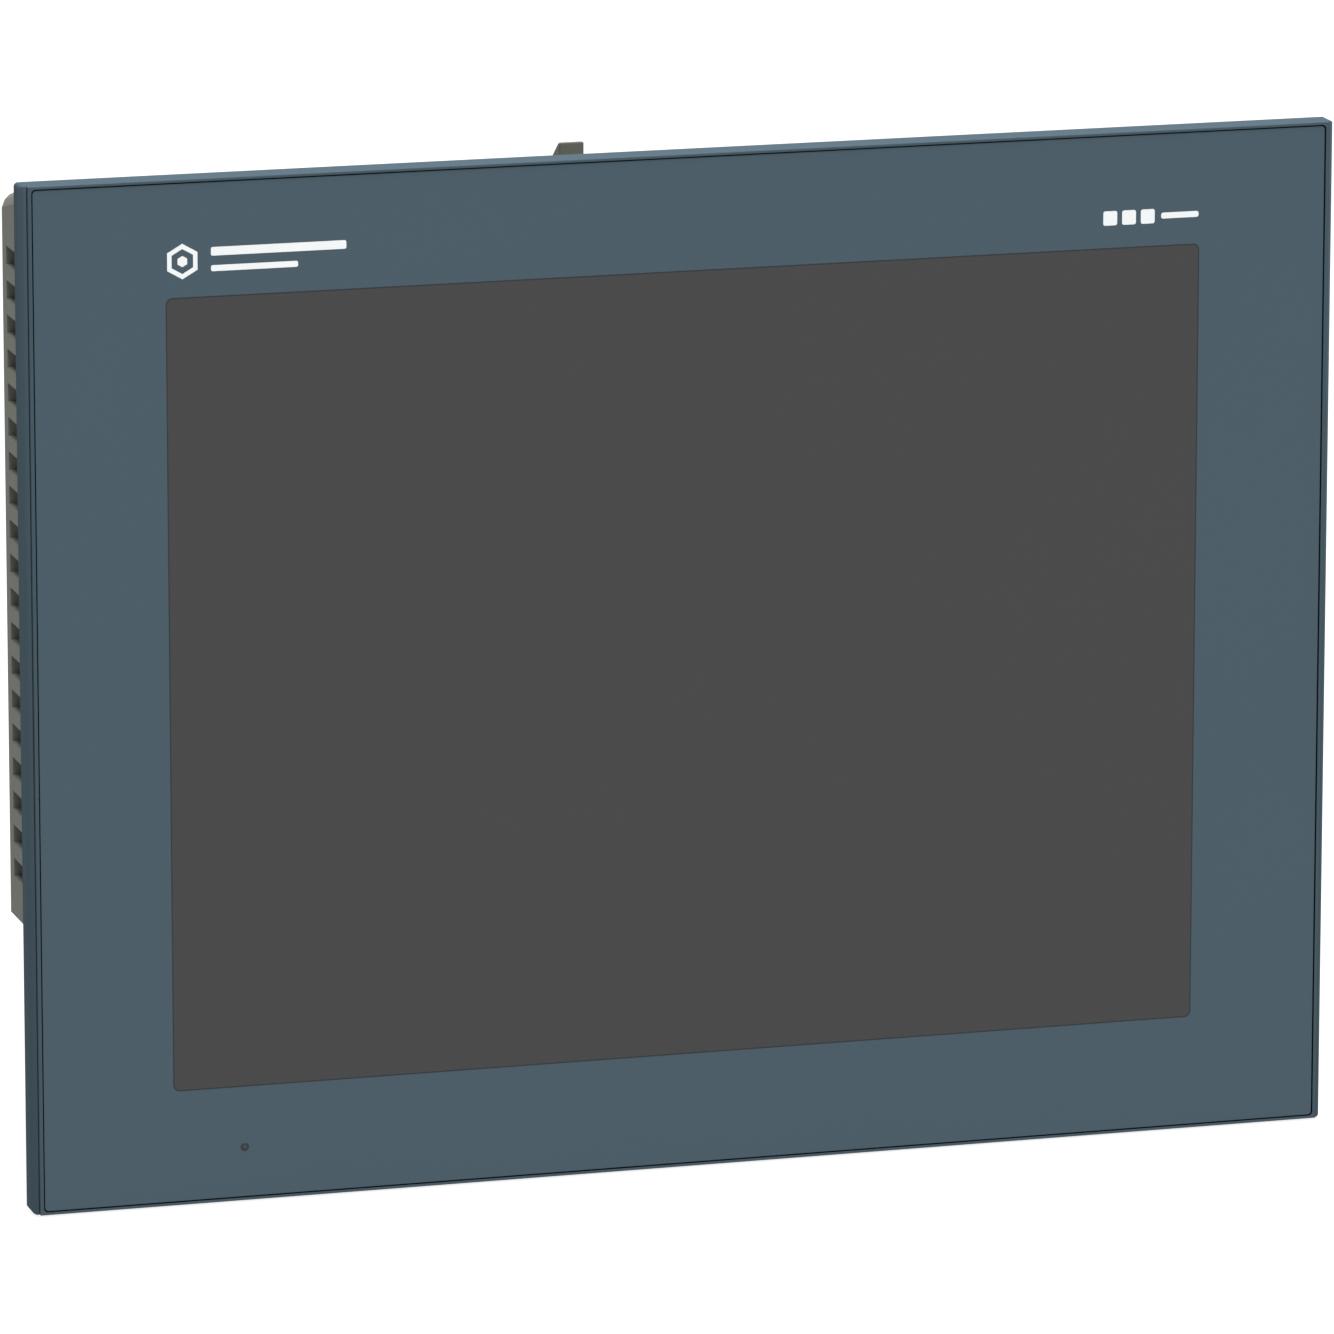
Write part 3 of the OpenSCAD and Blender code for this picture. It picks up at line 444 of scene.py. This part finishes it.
def in_hollow(c):
    """True on the housing's inner faces."""
    ceiling = min(HOLLOW_TOP_Z, SLOPE_Z - SLOPE_FALL * (c.y - SLOPE_Y))
    between_walls = abs(c.x) < HOLLOW_HALF_W and HOLLOW_Y[0] < c.y < HOLLOW_Y[1]
    return between_walls and HOLLOW_LOW_Z < c.z < ceiling and (c.y < STEP_Y or c.z > STEP_Z)


# painted shade: the bezel's faces in the groove round its front sheet are coloured near black, for the
# groove's shadow
paint("front_bezel", groove_painted_shade, in_sheet_pocket)

# painted shade: the housing's inner faces are coloured dark, for the shade inside its hollow
paint("rear_housing", hollow_painted_shade, in_hollow)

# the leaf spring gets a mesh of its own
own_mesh(nodes["hook_spring"])


# ---------------------------------------------------------------- helpers for the pieces made here

def piece(name, bm, material, body="terminal", bevel=0.0, smooth=False):
    """Makes an object from bm that rides on a body. bevel is in millimetres."""
    mesh = bpy.data.meshes.new(name)
    bmesh.ops.recalc_face_normals(bm, faces=bm.faces)
    bm.to_mesh(mesh)
    bm.free()
    o = bpy.data.objects.new(name, mesh)
    bpy.context.scene.collection.objects.link(o)
    mesh.materials.append(material)
    for poly in mesh.polygons:
        poly.use_smooth = smooth or bevel > 0
    if bevel:
        b = o.modifiers.new("bevel", "BEVEL")
        b.width = bevel * MM
        b.segments = BEVEL_SEGMENTS
        b.limit_method = "ANGLE"
        b.angle_limit = math.radians(PIECE_EDGE)
        w = o.modifiers.new("normals", "WEIGHTED_NORMAL")
        w.keep_sharp = True
    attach(o, body)
    return o


def add_prism(bm, outline, place, thick):
    """Adds a flat shape to bm. Sizes are in millimetres, and place turns (u, v, w) into (x, y, z)."""
    low = [bm.verts.new(place(u, v, 0) * MM) for u, v in outline]
    high = [bm.verts.new(place(u, v, thick) * MM) for u, v in outline]
    count = len(outline)
    bm.faces.new(low[::-1])
    bm.faces.new(high)
    for i in range(count):
        j = (i + 1) % count
        bm.faces.new((low[i], low[j], high[j], high[i]))


def add_ring(bm, outer, inner, place, thick):
    """Adds a flat ring between two outlines with the same number of points."""
    loops = []
    for outline, w in ((outer, 0), (inner, 0), (inner, thick), (outer, thick)):
        loops.append([bm.verts.new(place(u, v, w) * MM) for u, v in outline])
    count = len(outer)
    for k in range(4):
        a, b = loops[k], loops[(k + 1) % 4]
        for i in range(count):
            j = (i + 1) % count
            bm.faces.new((a[i], a[j], b[j], b[i]))


# facets of a bar's rounded corner, and the straight edge in millimetres that it leaves at least
CORNER_FACETS = 4
LEAST_EDGE = 0.001


def bar(u0, v0, u1, v1, r):
    """Outline of a bar with rounded corners, from one corner to the opposite one."""
    r = min(r, (u1 - u0) / 2 - LEAST_EDGE, (v1 - v0) / 2 - LEAST_EDGE)
    middles = ((u1 - r, v1 - r), (u0 + r, v1 - r), (u0 + r, v0 + r), (u1 - r, v0 + r))
    points = []
    for (cu, cv), start in zip(middles, (0, 90, 180, 270)):
        for k in range(CORNER_FACETS + 1):
            a = math.radians(start + 90 * k / CORNER_FACETS)
            points.append((cu + r * math.cos(a), cv + r * math.sin(a)))
    return points


def centred_bar(cu, cv, half_u, half_v, r):
    """Outline of a bar with rounded corners, round its middle."""
    return bar(cu - half_u, cv - half_v, cu + half_u, cv + half_v, r)


def rectangle(cu, cv, half_u, half_v):
    """Outline of a rectangle, round its middle."""
    u0, u1 = cu - half_u, cu + half_u
    v0, v1 = cv - half_v, cv + half_v
    return [(u0, v0), (u1, v0), (u1, v1), (u0, v1)]


def ngon(cu, cv, r, count, turn=0.0):
    """Outline of a regular polygon. turn is in degrees."""
    turns = [math.radians(turn + 360 * k / count) for k in range(count)]
    return [(cu + r * math.cos(a), cv + r * math.sin(a)) for a in turns]


def add_frame(bm, middle, half, line, radii, place, thick):
    """Adds a rectangular frame. half is half its outer size, and radii are its outer and inner corners'."""
    outer = centred_bar(*middle, *half, radii[0])
    inner = centred_bar(*middle, half[0] - line, half[1] - line, radii[1])
    add_ring(bm, outer, inner, place, thick)


def on_front(y):
    """Flat shapes seen from the front, standing on the plane y and thickening towards the viewer."""
    return lambda u, v, w: Vector((u, y - w, v))


def on_back(y):
    """Flat shapes that stand on the plane y and thicken backwards."""
    return lambda u, v, w: Vector((u, y + w, v))


def on_under(z):
    """Flat shapes that hang from the plane z and thicken downwards."""
    return lambda u, v, w: Vector((u, v, z - w))


# thickness of printed marks in millimetres
PRINT = 0.02


# ---------------------------------------------------------------- prints and outline on the front sheet

FILM_Y = -7.8
on_film = on_front(FILM_Y)

# left: a hexagon ring with a dot in it, and two bars, each given by its left, bottom, right and top
HEXAGON_AT = (-120.1, 101.6)
HEXAGON_TURN = 30
RING_OUTER_R = 4.1
RING_INNER_R = 2.9
DOT_R = 1.3
LEFT_BARS = ((-113.4, 102.6, -81.6, 104.6), (-113.4, 99.0, -93.0, 100.4))
LEFT_BAR_CORNER = 0.4


def hexagon(r):
    """A hexagon that stands on a corner."""
    return ngon(*HEXAGON_AT, r, 6, HEXAGON_TURN)


bm = bmesh.new()
add_ring(bm, hexagon(RING_OUTER_R), hexagon(RING_INNER_R), on_film, PRINT)
add_prism(bm, hexagon(DOT_R), on_film, PRINT)
for box in LEFT_BARS:
    add_prism(bm, bar(*box, LEFT_BAR_CORNER), on_film, PRINT)
piece("front_print_left", bm, white_print)

# right: three squares and a bar
SQUARES = 3
SQUARE = 3.4
SQUARE_PITCH = 4.6
SQUARES_X, SQUARES_Z = 100.4, 98.6
RIGHT_BAR = (114.6, 99.6, 123.8, 101.0)
RIGHT_CORNER = 0.5
bm = bmesh.new()
for k in range(SQUARES):
    x = SQUARES_X + SQUARE_PITCH * k
    add_prism(bm, bar(x, SQUARES_Z, x + SQUARE, SQUARES_Z + SQUARE, RIGHT_CORNER), on_film, PRINT)
add_prism(bm, bar(*RIGHT_BAR, RIGHT_CORNER), on_film, PRINT)
piece("front_print_right", bm, white_print)

# thin dark line round the display window
OUTLINE_HALF = (124.1, 93.3)
OUTLINE_LINE = 0.3
OUTLINE_RADII = (1.5, 1.3)
OUTLINE_THICK = 0.01
bm = bmesh.new()
add_frame(bm, (0, 0), OUTLINE_HALF, OUTLINE_LINE, OUTLINE_RADII, on_film, OUTLINE_THICK)
piece("window_outline", bm, window_edge)


# ---------------------------------------------------------------- status light

# a shallow dome with a paler core, in place of the plain end of the light pipe
LIGHT_AT = (-107.2, -107.7)
LENS_SIDES = 32
# radius and depth of the lens's rings, from inside the light pipe's bore to the crown of the dome
LENS_PROFILE = ((1.0, 0.25), (1.0, -7.78), (0.93, -7.86), (0.75, -7.91), (0.45, -7.94))
CORE_R = 0.42
CORE_SIDES = 24
CORE_Y = -7.935

bm = bmesh.new()
loops = []
for r, y in LENS_PROFILE:
    loops.append([bm.verts.new(Vector((x, y, z)) * MM) for x, z in ngon(*LIGHT_AT, r, LENS_SIDES)])
for a, b in zip(loops, loops[1:]):
    for k in range(LENS_SIDES):
        after = (k + 1) % LENS_SIDES
        bm.faces.new((a[k], a[after], b[after], b[k]))
bm.faces.new(loops[0][::-1])
bm.faces.new(loops[-1])
light = piece("status_lens", bm, lens, smooth=True)
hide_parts("status_light_pipe")

bm = bmesh.new()
add_prism(bm, ngon(*LIGHT_AT, CORE_R, CORE_SIDES), on_front(CORE_Y), PRINT)
piece("status_lens_core", bm, lens_core)


# ---------------------------------------------------------------- print on the rating label

LABEL_Y = 47.9
LABEL_MIDDLE = (0, 30)
LABEL_HALF = (46.6, 21.6)
LABEL_LINE = 0.4
LABEL_RADII = (1.0, 0.8)
# rows of bars that stand for lines of data, in a left column and, on every second row, a right one
ROWS = 7
FIRST_ROW_Z = 46.5
ROW_PITCH = 5.0
ROW_TALL = 1.5
ROW_CORNER = 0.3
# left column: its left edge, a bar's least length and how much longer it may be
LEFT_COLUMN, LEFT_LEAST, LEFT_MORE = -43.5, 14, 18
# right column: its left edge, a bar's least right end and how much farther that may be
RIGHT_COLUMN, RIGHT_LEAST, RIGHT_MORE = -12, 4, 11
# the gap between the columns is at least this wide
COLUMN_GAP = 3
# plain stripes of uneven width at the lower right: least width, and how much wider they may be
STRIPE_LEAST, STRIPE_MORE = 0.25, 0.5
STRIPES = 22
STRIPES_X = 20.5
STRIPE_PITCH = 1.05
STRIPE_LOW, STRIPE_HIGH = 12, 19


def on_label(u, v, w):
    """Flat shapes on the rating label, which is read from behind."""
    return Vector((-u, LABEL_Y + w, v))


def stripe_edge(u):
    """One end of a stripe's right edge, which lies at random and a little askew."""
    return u + STRIPE_LEAST + STRIPE_MORE * rng.random()


rng = random.Random(7)
bm = bmesh.new()
add_frame(bm, LABEL_MIDDLE, LABEL_HALF, LABEL_LINE, LABEL_RADII, on_label, PRINT)
for row in range(ROWS):
    z = FIRST_ROW_Z - ROW_PITCH * row
    end = LEFT_COLUMN + LEFT_LEAST + LEFT_MORE * rng.random()
    add_prism(bm, bar(LEFT_COLUMN, z, end, z + ROW_TALL, ROW_CORNER), on_label, PRINT)
    if row % 2:
        start = max(end + COLUMN_GAP, RIGHT_COLUMN)
        end = RIGHT_LEAST + RIGHT_MORE * rng.random()
        add_prism(bm, bar(start, z, end, z + ROW_TALL, ROW_CORNER), on_label, PRINT)
for k in range(STRIPES):
    u = STRIPES_X + STRIPE_PITCH * k
    low_end, high_end = stripe_edge(u), stripe_edge(u)
    outline = [(u, STRIPE_LOW), (low_end, STRIPE_LOW), (high_end, STRIPE_HIGH), (u, STRIPE_HIGH)]
    add_prism(bm, outline, on_label, PRINT)
piece("label_print", bm, dark_print)


# ---------------------------------------------------------------- plain signs beside the connectors

SIGN_Y = 40.0
UNDERSIDE_Z = -62.0
POLE_PITCH = 5.08
on_underside = on_under(UNDERSIDE_Z)


def power_sign(bm, x):
    """A dot for each pole of the power connector."""
    for k in (-1, 0, 1):
        add_prism(bm, ngon(x + POLE_PITCH * k, SIGN_Y, 0.9, 20), on_underside, PRINT)


def serial_sign(bm, x):
    """A wide frame with rounded corners."""
    add_frame(bm, (x, SIGN_Y), (5, 1.6), 0.5, (1.2, 0.9), on_underside, PRINT)


def jack_sign(bm, x):
    """A small frame."""
    add_frame(bm, (x, SIGN_Y), (2.4, 2), 0.5, (0.3, 0.2), on_underside, PRINT)


def network_sign(bm, x):
    """Three boxes on a line."""
    for u, v in ((0, 1.4), (-2.2, -1.4), (2.2, -1.4)):
        add_prism(bm, centred_bar(x + u, SIGN_Y + v, 0.9, 0.8, 0.2), on_underside, PRINT)
    add_prism(bm, centred_bar(x, SIGN_Y, 2.4, 0.15, 0.1), on_underside, PRINT)


def port_sign(bm, x):
    """A line from a dot to an arrowhead."""
    add_prism(bm, centred_bar(x, SIGN_Y, 2.6, 0.25, 0.2), on_underside, PRINT)
    add_prism(bm, ngon(x - 2.6, SIGN_Y, 0.8, 16), on_underside, PRINT)
    arrowhead = [(x + 2.4, SIGN_Y - 0.8), (x + 3.6, SIGN_Y), (x + 2.4, SIGN_Y + 0.8)]
    add_prism(bm, arrowhead, on_underside, PRINT)


NETWORK_JACK_X = 22
SIGNS = ((-75, power_sign), (-36, serial_sign), (0, jack_sign), (NETWORK_JACK_X, network_sign),
         (46, port_sign), (66, port_sign), (86, port_sign))
bm = bmesh.new()
for x, sign in SIGNS:
    sign(bm, x)
piece("connector_signs", bm, white_print)

# indicator windows in the network jack's face: how far each lies from its middle, and half their size
JACK_FACE_Z = -62.3
INDICATOR_X = 6.2
INDICATOR_Y = 27.4
INDICATOR_HALF = (1.3, 0.8)
INDICATOR_CORNER = 0.3
INDICATOR_TALL = 0.12
for name, side, material in (("jack_light_left", -1, led_green), ("jack_light_right", 1, led_amber)):
    bm = bmesh.new()
    x = NETWORK_JACK_X + side * INDICATOR_X
    window = centred_bar(x, INDICATOR_Y, *INDICATOR_HALF, INDICATOR_CORNER)
    add_prism(bm, window, on_under(JACK_FACE_Z), INDICATOR_TALL)
    piece(name, bm, material, bevel=0.05)


# ---------------------------------------------------------------- small parts on the main board

SMALL_PARTS = 90
BOARD_FACE_Y = 15.6
on_board = on_back(BOARD_FACE_Y)
# where small parts may stand, and how far they keep from larger parts
BOARD_X = (-88, 130)
BOARD_Z = (-40, 46)
CLEARANCE = 1.5
# half the square that a small part takes up, and half the size of its body when it lies along X or along Z
SMALL_PART_HALF = 1.2
BODY_ALONG_X = (0.72, 0.6)
BODY_ALONG_Z = (0.432, 0.72)
BODY_TALL = 0.62
# its metal ends: place of their middle, half their length and width, and height
END_AT = 0.875
END_HALF = (0.175, 0.6)
END_TALL = 0.6

# areas of the board that stay clear for larger parts: x from, x to, z from, z to
taken = [
    (-96, -64, -46, 20),   # large transformer and two capacitors
    (-60, -44, -46, 2),    # small transformer and a capacitor
    (8, 50, -8, 33),       # processor under its heat sink
    (-16, 0, 4, 20),       # square chip to its left
    (100, 138, -50, 36),   # card socket, setting switches and clock battery
    (-48, -28, -28, -16),  # long chip
    (57, 71, 0, 28),       # two chips beside the heat sink
    (-23, 13, 40, 50),     # end of the display cable
    (-44, 122, -62, -40),  # row of connectors
    (-56, -44, 6, 18),     # chip at the left
    (4, 16, -36, -24),     # chip below the processor
    (90, 103, -30, 36),    # two chips and two small capacitors at the right
    (-41, -27, 23, 37),    # buzzer
    (-90, -70, 28, 38),    # left bare, upper left
    (14, 26, -26, -14),    # screw below the heat sink
    (55, 84, -33, -20),    # two small chips
    (14, 26, 40, 50),      # screw above the heat sink
    (-62, -26, -62, -46),  # serial connector's left part
]
rng = random.Random(31)
bodies, ends = bmesh.new(), bmesh.new()
made = 0
while made < SMALL_PARTS:
    x, z = rng.uniform(*BOARD_X), rng.uniform(*BOARD_Z)
    if any(a - CLEARANCE < x < b + CLEARANCE and c - CLEARANCE < z < d + CLEARANCE for a, b, c, d in taken):
        continue
    taken.append((x - SMALL_PART_HALF, x + SMALL_PART_HALF, z - SMALL_PART_HALF, z + SMALL_PART_HALF))
    along_x = rng.random() < 0.5
    body_half = BODY_ALONG_X if along_x else BODY_ALONG_Z
    add_prism(bodies, rectangle(x, z, *body_half), on_board, BODY_TALL)
    for side in (-1, 1):
        if along_x:
            outline = rectangle(x + side * END_AT, z, *END_HALF)
        else:
            outline = rectangle(x, z + side * END_AT, *END_HALF[::-1])
        add_prism(ends, outline, on_board, END_TALL)
    made += 1
piece("board_small_parts", bodies, tan_ceramic, bevel=0.05)
piece("board_small_part_ends", ends, screw_steel, bevel=0.04)


# ---------------------------------------------------------------- floor, light and camera

# half the floor's width, and how far it lies below the object's lowest point, in metres
FLOOR_HALF = 12
FLOOR_GAP = 0.0005
# the floor glows so that it comes out nearly white, with only a faint shadow
FLOOR_GLOW = 0.87
WORLD_LIGHT = 0.6

floor_mesh = bpy.data.meshes.new("floor")
floor_corners = [(u, v, 0) for u, v in rectangle(0, 0, FLOOR_HALF, FLOOR_HALF)]
floor_mesh.from_pydata(floor_corners, [], [(0, 1, 2, 3)])
floor = bpy.data.objects.new("floor", floor_mesh)
floor.location = (0, 0, cad_low.z - FLOOR_GAP)
bpy.context.scene.collection.objects.link(floor)
floor_material = surface("floor_white", (0.12, 0.12, 0.12), rough=0.9, vary=0.01, blotch=2, grain=300,
                         depth=0.01, specular=0.0)
floor_shader = floor_material.node_tree.nodes["Principled BSDF"]
floor_shader.inputs["Emission Color"].default_value = (1, 1, 1, 1)
floor_shader.inputs["Emission Strength"].default_value = FLOOR_GLOW
floor_mesh.materials.append(floor_material)

world = bpy.data.worlds.new("studio")
bpy.context.scene.world = world
world.use_nodes = True
world.node_tree.nodes["Background"].inputs["Color"].default_value = (1, 1, 1, 1)
world.node_tree.nodes["Background"].inputs["Strength"].default_value = WORLD_LIGHT


def sun(name, towards, strength, spread_deg):
    """A soft far light that shines along towards."""
    data = bpy.data.lights.new(name, "SUN")
    data.energy = strength * math.pi
    data.angle = math.radians(spread_deg)
    o = bpy.data.objects.new(name, data)
    o.rotation_mode = "QUATERNION"
    o.rotation_quaternion = Vector(towards).to_track_quat("-Z", "Y")
    bpy.context.scene.collection.objects.link(o)


sun("key", towards=(-0.25, 0.48, -2.0), strength=2.2, spread_deg=50)
sun("rim", towards=(-0.12, -0.35, -0.25), strength=0.35, spread_deg=60)

# the camera's place and aim in metres
EYE = Vector((-0.68852, -2.35481, 0.55444))
TARGET = Vector((-0.00538, -0.00794, -0.00004))
LENS_MM = 291.31
SENSOR_MM = 36
ROLL_DEG = 0.034

camera_data = bpy.data.cameras.new("camera")
camera_data.sensor_width = SENSOR_MM
camera_data.lens = LENS_MM
camera_data.clip_start = 0.1
camera_data.clip_end = 100
camera = bpy.data.objects.new("camera", camera_data)
bpy.context.scene.collection.objects.link(camera)
roll = Quaternion((0, 0, 1), math.radians(ROLL_DEG))
camera.location = EYE
camera.rotation_mode = "QUATERNION"
camera.rotation_quaternion = (TARGET - EYE).to_track_quat("-Z", "Y") @ roll
bpy.context.scene.camera = camera

view_settings = bpy.context.scene.view_settings
view_settings.view_transform = "Standard"
view_settings.look = "None"
view_settings.exposure = 0
view_settings.gamma = 1
